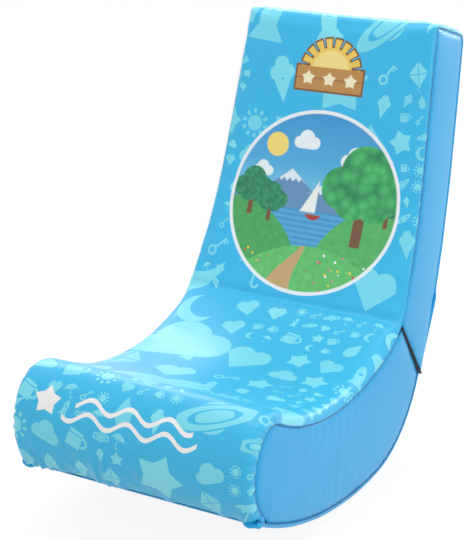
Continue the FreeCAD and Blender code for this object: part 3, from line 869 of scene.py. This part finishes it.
def local(across, up, fine, seed):
    """The cell a place is in, its chances, and the place within it, leaning and swelling by chance."""
    column, row = whole(across * fine), whole(up * fine)
    pick = chance(column, row, fine + seed)
    lean = (pick[1] - 0.5) * 0.9
    swell = 0.76 + pick[2] * 0.3
    x, y = across * fine - column - 0.5, up * fine - row - 0.5
    cosine, sine = lean.math("COSINE", lean), lean.math("SINE", lean)
    return pick, ((x * cosine + y * sine) * swell, (y * cosine - x * sine) * swell)


def one_of(choices, share, p):
    """The field of one motif, picked by a share from 0 to 1."""
    field = 0.0
    for number, motif in enumerate(choices):
        picked = share * float(len(choices))
        field = motif(p) * ((picked > float(number)) * (picked < number + 1.0)) + field
    return field


def edged(field, softness=0.0007):
    """1 where a field, in metres, is above zero, with a slightly soft edge."""
    return field.finish.node("ShaderNodeClamp", {}, {0: field / softness + 0.5})


small_pitch = 0.112
large_pitch = 0.235
up = axes[1] / small_pitch
across = axes[0] / small_pitch + whole(up) * 0.37
split = chance(whole(across), whole(up), 4.0)
fine = 1.0 + (split[0] > 0.4)
split = chance(whole(across * fine), whole(up * fine), 5.0)
fine = fine * (1.0 + (split[0] > 0.62) * (fine > 1.5))
pick, p = local(across, up, fine, 6.0)
small = edged(one_of(motifs, pick[0], p) * (small_pitch / fine))
up = axes[1] / large_pitch + 0.31
across = axes[0] / large_pitch + whole(up) * 0.43 + 0.2
large_pick, p = local(across, up, 1.0, 11.0)
large = edged(one_of([cloud, moon, heart, drop], large_pick[0], p) * large_pitch)
large = large * (large_pick[1] > 0.66)
shape = most(large, small * (1.0 - large))
ink = printed_vinyl.mix(shape * (0.75 + pick[2] * 0.25), sky, pale)

# The round picture: a lake between green hills under a blue sky, with trees, clouds and a boat
picture_along = crease_place + 0.176
picture_radius = 0.162
picture_ring = 0.0062
p = (axes[0] / picture_radius, (axes[1] - picture_along) / picture_radius)


def placed(p, x, y, size):
    return (p[0] - x) / size, (p[1] - y) / size


def painted(under, field, colour):
    """Paints a colour over what is under it, where a field of the picture is above zero."""
    return printed_vinyl.mix(edged(field, 0.012), under, colour)


picture = printed_vinyl.ramp(
    p[1] * 0.5 + 0.5, (0.35, paint(150, 220, 240)), (0.7, paint(84, 178, 226)), (1.0, paint(58, 150, 212))
)
picture = painted(picture, disc(p, -0.52, 0.58, 0.13), paint(255, 226, 120))
for x, y, size in ((-0.18, 0.66, 0.42), (0.42, 0.52, 0.5), (-0.66, 0.3, 0.34)):
    picture = painted(picture, cloud(placed(p, x, y, size)) * size, paint(244, 250, 252))
for x, y, slope in ((-0.3, 0.34, 0.8), (0.12, 0.24, 0.7), (-0.72, 0.2, 0.75)):
    peak = y - p[1] - abs(p[0] - x) * slope
    picture = painted(picture, least(peak, p[1] + 0.1), paint(104, 148, 190))
    cap = least(peak, p[1] - y + 0.1 + abs((p[0] / 0.07) % 1.0 - 0.5) * 0.08)
    picture = painted(picture, cap, paint(236, 244, 248))
ripples = abs((p[1] / 0.06) % 1.0 - 0.5) + printed_vinyl.noise(cloth_map, 60.0) * 0.4
lake = printed_vinyl.mix(ripples, paint(44, 136, 196), paint(104, 192, 228))
picture = printed_vinyl.mix(edged(-0.08 - p[1], 0.012), picture, lake)
hull = least(disc(placed(p, 0.02, -0.1, 0.2), 0.0, 0.1, 0.5), -0.12 - p[1])
picture = painted(picture, hull, paint(176, 62, 48))
sail = least(0.04 - p[0], p[1] + 0.1, beyond(p, 0.04, 0.25, 152.8) * -1.0)
picture = painted(picture, sail, paint(250, 248, 240))
grass_spots = printed_vinyl.noise(cloth_map, 90.0, 3.0, 0.6)


def meadow(under, field, dark, light):
    return printed_vinyl.mix(edged(field, 0.012), under, printed_vinyl.mix(grass_spots, dark, light))


picture = meadow(picture, disc(p, -0.95, -0.95, 0.92), paint(46, 148, 84), paint(92, 188, 104))
picture = meadow(picture, disc(p, 0.9, -0.8, 0.84), paint(58, 160, 92), paint(108, 200, 110))


def tree(under, x, y, size, dark, light):
    """A trunk, then a crown of five puffs with a mottle of leaves."""
    q = placed(p, x, y, size)
    under = painted(under, block(q, 0.0, -0.16, 0.07, 0.3) * size, paint(122, 84, 58))
    puffs = most(
        disc(q, 0.0, 0.46, 0.34), disc(q, -0.3, 0.24, 0.27), disc(q, 0.3, 0.26, 0.28),
        disc(q, -0.14, 0.1, 0.24), disc(q, 0.16, 0.1, 0.24),
    )
    leaves = printed_vinyl.cells(cloth_map, 46.0 / size)
    leafy = printed_vinyl.mix(leaves, light, dark)
    return printed_vinyl.mix(edged(puffs * size, 0.012), under, leafy)


for x, y, size in ((-0.74, -0.02, 0.42), (-0.5, -0.1, 0.34), (0.86, 0.02, 0.36)):
    picture = tree(picture, x, y, size, paint(22, 112, 84), paint(58, 164, 108))
picture = tree(picture, 0.56, 0.0, 0.86, paint(24, 132, 78), paint(84, 200, 116))
picture = meadow(picture, disc(p, 0.1, -1.62, 1.16), paint(64, 176, 98), paint(124, 214, 118))
bend = 0.12 * (p[1] * 5.0).math("SINE", p[1] * 5.0)
path_width = 0.02 - (p[1] + 0.46) * 0.28
trail = least(path_width - abs(p[0] + bend + 0.1), -0.47 - p[1])
picture = painted(picture, trail, paint(206, 168, 116))
beds = printed_vinyl.cells(cloth_map, 90.0, randomness=0.9)
bed_tint = printed_vinyl.cells(cloth_map, 90.0, "Color", randomness=0.9)
tint = printed_vinyl.node("ShaderNodeSeparateXYZ", {}, {0: bed_tint}, 0)
petals = printed_vinyl.node("ShaderNodeValToRGB", {"stops": [
    (0.0, paint(224, 60, 54)), (0.35, paint(248, 214, 70)),
    (0.6, paint(250, 250, 250)), (0.8, paint(236, 110, 160)),
]}, {0: tint})
petals.socket.node.color_ramp.interpolation = "CONSTANT"
flowers = (beds < 0.22) * (p[1] < -0.52) * (abs(p[0] + bend + 0.1) > 0.24)
picture = printed_vinyl.mix(flowers, picture, petals)
far_out = (p[0] ** 2 + p[1] ** 2) ** 0.5
ring_share = picture_ring / picture_radius
picture = painted(picture, far_out - (1.0 - ring_share), paint(246, 248, 250))
ink = printed_vinyl.mix(edged(1.0 - far_out, 0.006), ink, picture)

# The gold badge above it: a half sun rising over a plank with three stars
badge_along = crease_place + 0.411
p = ((axes[0] + 0.004) / 0.1, (axes[1] - badge_along) / 0.1)
plank = block(p, 0.0, -0.2, 0.62, 0.2)
half = least(disc(p, 0.0, -0.05, 0.4), p[1] + 0.05)
turn = p[0].math("ARCTAN2", p[1] + 0.05, p[0])
rays = abs((turn / (math.pi / 9)) % 1.0 - 0.5) - 0.18
spread = ((p[0]) ** 2 + (p[1] + 0.05) ** 2) ** 0.5
rays = least(rays * 0.3, 0.56 - spread, p[1] + 0.05)
badge = [
    (most(plank, half, rays) + 0.035, paint(128, 84, 44)),
    (most(rays, half), paint(246, 206, 96)),
    (half - 0.05, paint(252, 226, 140)),
    (plank, paint(196, 142, 76)),
    (least(plank, 0.012 - abs(p[1] + 0.2)), paint(164, 112, 58)),
]
badge += [(star(placed(p, x, -0.2, 0.34)) * 0.34, paint(252, 240, 200)) for x in (-0.4, 0.0, 0.4)]
for field, colour in badge:
    ink = printed_vinyl.mix(edged(field, 0.012), ink, colour)

# White waves and a star on the nose
wave_along = 0.128
wave_colour = paint(248, 248, 246)
p = (axes[0] + 0.02, axes[1] - wave_along)
for offset, first, last in ((0.011, -0.075, 0.125), (-0.011, -0.095, 0.135)):
    crest = 0.008 * (p[0] * 95.0).math("SINE", p[0] * 95.0)
    stroke = least(0.0036 - abs(p[1] - offset - crest), p[0] - first, last - p[0])
    ink = printed_vinyl.mix(edged(stroke), ink, wave_colour)
ink = printed_vinyl.mix(edged(star(placed(p, -0.125, 0.004, 0.062)) * 0.062), ink, wave_colour)

printed_grain = grain_of(printed_vinyl, printed_vinyl.place())
printed_vinyl.wear(ink, 0.36 + printed_grain * 0.14, printed_grain, 0.00014)
printed.data.materials.append(printed_vinyl.material)
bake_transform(printed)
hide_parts("seat_cover", "seat_foam", "seat_nose_foam", "back_cover", "back_foam")


# Bottom panel
# Plain vinyl over the curved hardboard base, sewn to the side panels 6 mm up the sides and
# folded up over the front of the nose, where it shows as a narrow rim.
def meets_joint(run, out):
    """The place where a run crosses the joint face, or a face a distance to the rear of it."""
    places = np.linspace(0, run.length, 4000)
    past = [(run.at(place)[0] - crease) @ toward(90 - joint_slant) for place in places]
    return places[np.flatnonzero(np.diff(np.sign(np.array(past) - out)))[-1]]


def plain_wrap(name, node, body, run, places, inner_side):
    piece = wrap(name, run, places, inner_side, half_width, lambda place: 0.003, lambda place: 0.006, 40)
    subdivide(piece)
    across, along, from_seam = cloth_of(piece).T
    raised = 0.0005 * wander(np.column_stack([across * 12, along * 12]), 21.0)
    points = coordinates(piece) + normals_of(piece) * raised[:, None]
    points[:, 2] = np.maximum(points[:, 2], rocker_flat / 2)
    move_to(piece, points)
    map_cloth(piece)
    thicken(piece, panel_thickness)
    piece.data.materials.append(plain_vinyl.material)
    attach(piece, body)
    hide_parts(node)
    return piece


joint_gap = 0.0004
rim_turn = nose_heading - 180 + nose_under
rim_radius = 0.006
rim_cut = rim_radius * math.tan(math.radians(-rim_turn) / 2)
rocker_run = Run(
    nose_foot + toward(nose_heading, hem_place),
    nose_heading - 180,
    [
        (hem_place - rim_cut, None),
        (math.radians(-rim_turn) * rim_radius, rim_radius),
        (rocker_radius * math.radians(nose_under + 2.0) - rim_cut, rocker_radius),
        (0.192 * math.pi / 2, 0.192),
    ],
)
rocker_end = meets_joint(rocker_run, -joint_gap / 2)
plain_wrap(
    "bottom_panel", "rocker_cover", "seat", rocker_run,
    places_between(0.0, (0.008, 0.002), (0.60, 0.013), (rocker_end, 0.009)), 1,
)


# Rear panel of the backrest
# Plain vinyl over a hardboard sheet, sewn to the printed panel behind the rounded top and to
# the side panels along both edges.
rear_run = Run(
    printed_run.end,
    printed_run.end_heading,
    [
        (rear_round * math.radians(90 - rear_seam_turn), -rear_round),
        (0.190 - rear_round, None),
        (0.458, -1.575),
    ],
)
rear_end = meets_joint(rear_run, joint_gap / 2)
plain_wrap(
    "rear_panel", "back_rear_cover", "back", rear_run,
    places_between(0.0, (0.020, 0.003), (rear_end, 0.010)), -1,
)


# Seams
# Where two panels meet on the side, their edges are turned in and topstitched. The turned edge
# shows as a slim cord in the seam, with a row of stitches on the printed side of it. The cord's
# vinyl is a darker blue than the panels: painted shade that stands in for the shadow in the seam.
cord_radius = 0.0011
stitch_pitch = 0.0036
stitch_length = 0.0024
stitch_radius = 0.00035


def seam_points(run, places, inner_side, depth, side, inset):
    """Points along a side seam, at a depth below the run and an inset from the chair's side."""
    made = []
    for place in places:
        point, heading = run.at(place)
        spot = point + depth(place) * toward(heading + 90 * inner_side)
        made.append((side * (half_width(point) - inset), *spot))
    return np.array(made)


def ring_round(points, radii, sides):
    """Rings of points round a line, for a cord or a stitch."""
    ahead = np.gradient(points, axis=0)
    ahead /= np.linalg.norm(ahead, axis=1)[:, None]
    beside = np.cross(ahead, [1.0, 0.0, 0.0])
    beside /= np.linalg.norm(beside, axis=1)[:, None]
    over = np.cross(ahead, beside)
    turns = np.arange(sides) * math.tau / sides
    rings = np.cos(turns)[:, None] * beside[:, None] + np.sin(turns)[:, None] * over[:, None]
    return points[:, None] + rings * np.asarray(radii).reshape(-1, 1, 1)


def ring_faces(count, sides):
    """The faces that join a number of rings into a tube and close both its ends."""
    faces = []
    for i in range(count - 1):
        for j in range(sides):
            near, far, after = i * sides, (i + 1) * sides, (j + 1) % sides
            faces.append((near + j, near + after, far + after, far + j))
    return faces + [tuple(range(sides))[::-1], tuple(range((count - 1) * sides, count * sides))]


def tube(points, radii, sides):
    """The points and faces of a closed tube along a line."""
    return ring_round(points, radii, sides).reshape(-1, 3), ring_faces(len(points), sides)


def joined(name, parts, material, body):
    points, faces = [], []
    for part_points, part_faces in parts:
        faces += [tuple(i + len(points) for i in face) for face in part_faces]
        points += part_points.tolist()
    mesh = bpy.data.meshes.new(name)
    mesh.from_pydata(points, [], faces)
    mesh.shade_smooth()
    mesh.materials.append(material)
    piece = bpy.data.objects.new(name, mesh)
    bpy.context.scene.collection.objects.link(piece)
    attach(piece, body)
    return piece


# The cord's darker blue is painted shade for the shadow along the seam, not the vinyl's own colour
seam_shade_vinyl = vinyl("seam_cord_painted_shade")
seam_grain = grain_of(seam_shade_vinyl, seam_shade_vinyl.place())
seam_shade_vinyl.wear(
    seam_shade_vinyl.mix(seam_grain, paint(34, 104, 158), paint(52, 134, 186)),
    0.5 + seam_grain * 0.1, seam_grain, 0.0001,
)
thread = Finish("blue_thread", {"IOR": 1.5, "Sheen Weight": 0.3})
strands = thread.noise(thread.place(), 2600.0, 2.0)
thread.wear(
    thread.mix(strands, paint(58, 140, 190), paint(96, 184, 222)),
    0.6 + strands * 0.2, strands, 0.0001,
)


def stitches(run, places, inner_side, depth, side):
    """A row of short stitches that sit on the panel above the seam."""
    parts = []
    for place in np.arange(places[0] + stitch_pitch, places[-1] - stitch_pitch, stitch_pitch):
        ends = [place - stitch_length / 2, place, place + stitch_length / 2]
        line = seam_points(run, ends, inner_side, depth, side, -seam_lip * 0.9)
        parts.append(tube(line, [stitch_radius * 0.4, stitch_radius, stitch_radius * 0.4], 5))
    return parts


def topstitch_depth(place):
    return printed_depth(place) - 0.0026


seat_seam = places_between(hem_place, (crease_place - 0.002, 0.005))
back_seam = places_between(crease_place + 0.004, (printed_run.length, 0.004))
rocker_seam = places_between(0.002, (rocker_end - 0.001, 0.006))
stretches = [
    ("seat_welt", "seat", printed_run, seat_seam, -1, printed_depth),
    ("back_welt", "back", printed_run, back_seam, -1, printed_depth),
    ("rocker_welt", "seat", rocker_run, rocker_seam, 1, lambda place: 0.006),
]
for side_name, side in (("left", 1.0), ("right", -1.0)):
    for name, body, run, places, inner_side, depth in stretches:
        line = seam_points(run, places, inner_side, depth, side, seam_dip * 0.8)
        line[:, 0] += side * 0.0003 * wander(np.column_stack([np.array(places) * 180, line[:, 0]]), 5.0)
        cord = joined(
            f"{name}_cord_{side_name}", [tube(line, [cord_radius] * len(line), 8)],
            seam_shade_vinyl.material, body,
        )
        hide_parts(f"{name}_{side_name}")
        if name != "rocker_welt":
            joined(
                f"{name}_stitches_{side_name}", stitches(run, places, inner_side, topstitch_depth, side),
                thread.material, body,
            )


# Corner folds under the nose
# At both front corners the ends of the bottom panel and of the printed panel are folded over
# each other and tacked, which leaves a small bunch of vinyl that hangs just below the seam.
# A rolled tuck beside it closes the corner between the printed, side and bottom panels.
fold_rings, fold_sides = 14, 22
tuck_top, tuck_foot = (-0.3955, 0.1265), (-0.3770, 0.1035)
tuck_inset, tuck_radius, tuck_steps = 0.0040, 0.0056, 9
for side_name, side in (("left", 1.0), ("right", -1.0)):
    rows = []
    for i in range(fold_rings):
        share = i / (fold_rings - 1)
        girth = 0.3 + 0.7 * math.sin(math.pi * share) ** 0.6
        row = []
        for j in range(fold_sides):
            angle = math.tau * j / fold_sides
            pleat = 1 + 0.22 * math.cos(3 * angle + 5 * share) * girth
            row.append((
                side * (half_seat - 0.024 + 0.0275 * share),
                nose_foot[0] + 0.0005 + 0.0072 * girth * pleat * math.cos(angle) + 0.004 * share,
                nose_foot[1] + 0.0008 + 0.0056 * girth * pleat * math.sin(angle) - 0.002 * share,
            ))
        rows.append(row)
    tuck_side = side * (half_seat - tuck_inset)
    tuck = np.linspace((tuck_side, *tuck_top), (tuck_side, *tuck_foot), tuck_steps)
    taper = np.sin(np.linspace(0.2, math.pi - 0.2, tuck_steps)) ** 0.5
    fold = joined(
        f"corner_fold_{side_name}",
        [
            (np.array(rows).reshape(-1, 3), ring_faces(fold_rings, fold_sides)),
            tube(tuck, tuck_radius * taper, 10),
        ],
        plain_vinyl.material, "seat",
    )


# Floor, light and camera
# A plain pale floor under an overhead softbox, a bank and a strip behind and a fill at the side.
# The camera stands in front, to the sitter's left.
floor_mesh = bpy.data.meshes.new("floor")
reach = 8.0
floor_mesh.from_pydata(
    [(-reach, -reach, 0), (reach, -reach, 0), (reach, reach, 0), (-reach, reach, 0)], [], [(0, 1, 2, 3)]
)
floor = bpy.data.objects.new("floor", floor_mesh)
bpy.context.scene.collection.objects.link(floor)
floor_paint = Finish("pale_floor", {"Roughness": 0.9, "Specular IOR Level": 0.1})
speckle = floor_paint.noise(floor_paint.place(), 60.0, 3.0)
floor_paint.feed(
    floor_paint.shader.inputs["Base Color"],
    floor_paint.ramp(speckle, (0.3, (0.62, 0.62, 0.62, 1)), (0.7, (0.66, 0.66, 0.66, 1))),
)
glow_share = 0.8
glow = floor_paint.node("ShaderNodeEmission", {}, {"Color": (1, 1, 1, 1), "Strength": 1.12})
looked_at = floor_paint.node("ShaderNodeLightPath", {}, {}, "Is Camera Ray")
for kind in ("Is Glossy Ray", "Is Transmission Ray"):
    looked_at = looked_at.math("MAXIMUM", looked_at, floor_paint.node("ShaderNodeLightPath", {}, {}, kind))
lit = Value(floor_paint, floor_paint.shader.outputs[0])
mixed = floor_paint.node("ShaderNodeMixShader", {}, {0: looked_at * glow_share, 1: lit, 2: glow})
surface = floor_paint.tree.nodes["Material Output"].inputs["Surface"]
floor_paint.feed(surface, mixed)
floor_mesh.materials.append(floor_paint.material)

world = bpy.data.worlds.new("studio")
world.use_nodes = True
bpy.context.scene.world = world
air = world.node_tree
path = air.nodes.new("ShaderNodeLightPath")
looked_at = path.outputs["Is Camera Ray"]
for kind in ("Is Glossy Ray", "Is Transmission Ray"):
    either = air.nodes.new("ShaderNodeMath")
    either.operation = "MAXIMUM"
    air.links.new(looked_at, either.inputs[0])
    air.links.new(path.outputs[kind], either.inputs[1])
    looked_at = either.outputs[0]
level = air.nodes.new("ShaderNodeMapRange")
level.inputs["To Min"].default_value = 0.78
level.inputs["To Max"].default_value = 1.0
air.links.new(looked_at, level.inputs["Value"])
air.nodes["Background"].inputs["Color"].default_value = (1, 1, 1, 1)
air.links.new(level.outputs[0], air.nodes["Background"].inputs["Strength"])


def softbox(name, place, aim, width, height, power):
    lamp = bpy.data.lights.new(name, "AREA")
    lamp.shape = "RECTANGLE"
    lamp.size, lamp.size_y = width, height
    lamp.energy = power
    made = bpy.data.objects.new(name, lamp)
    made.location = place
    made.visible_camera = False
    made.rotation_euler = (Vector(aim) - Vector(place)).to_track_quat("-Z", "Y").to_euler()
    bpy.context.scene.collection.objects.link(made)


softbox("overhead", (-0.2, 0.2, 2.7), (0, 0, 0.3), 1.6, 1.2, 15)
softbox("rear_bank", (-1.3, 2.1, 1.7), (0, -0.2, 0.25), 2.4, 0.6, 19)
softbox("rear_strip", (0.7, 2.3, 1.15), (0.1, -0.2, 0.25), 0.4, 1.3, 11)
softbox("side_fill", (2.8, -0.4, 1.3), (0, 0, 0.3), 1.6, 1.6, 13)

view_turn, view_rise = math.radians(29.0), math.radians(19.9)
lens = bpy.data.cameras.new("camera")
lens.lens = 98.67
lens.sensor_width = 36.0
camera = bpy.data.objects.new("camera", lens)
camera.location = (1.068, -2.031, 1.1656)
facing = Vector((-math.sin(view_turn), math.cos(view_turn), 0)) * math.cos(view_rise)
facing.z = -math.sin(view_rise)
camera.rotation_euler = facing.to_track_quat("-Z", "Y").to_euler()
bpy.context.scene.collection.objects.link(camera)
bpy.context.scene.camera = camera
bpy.context.scene.view_settings.view_transform = "Standard"
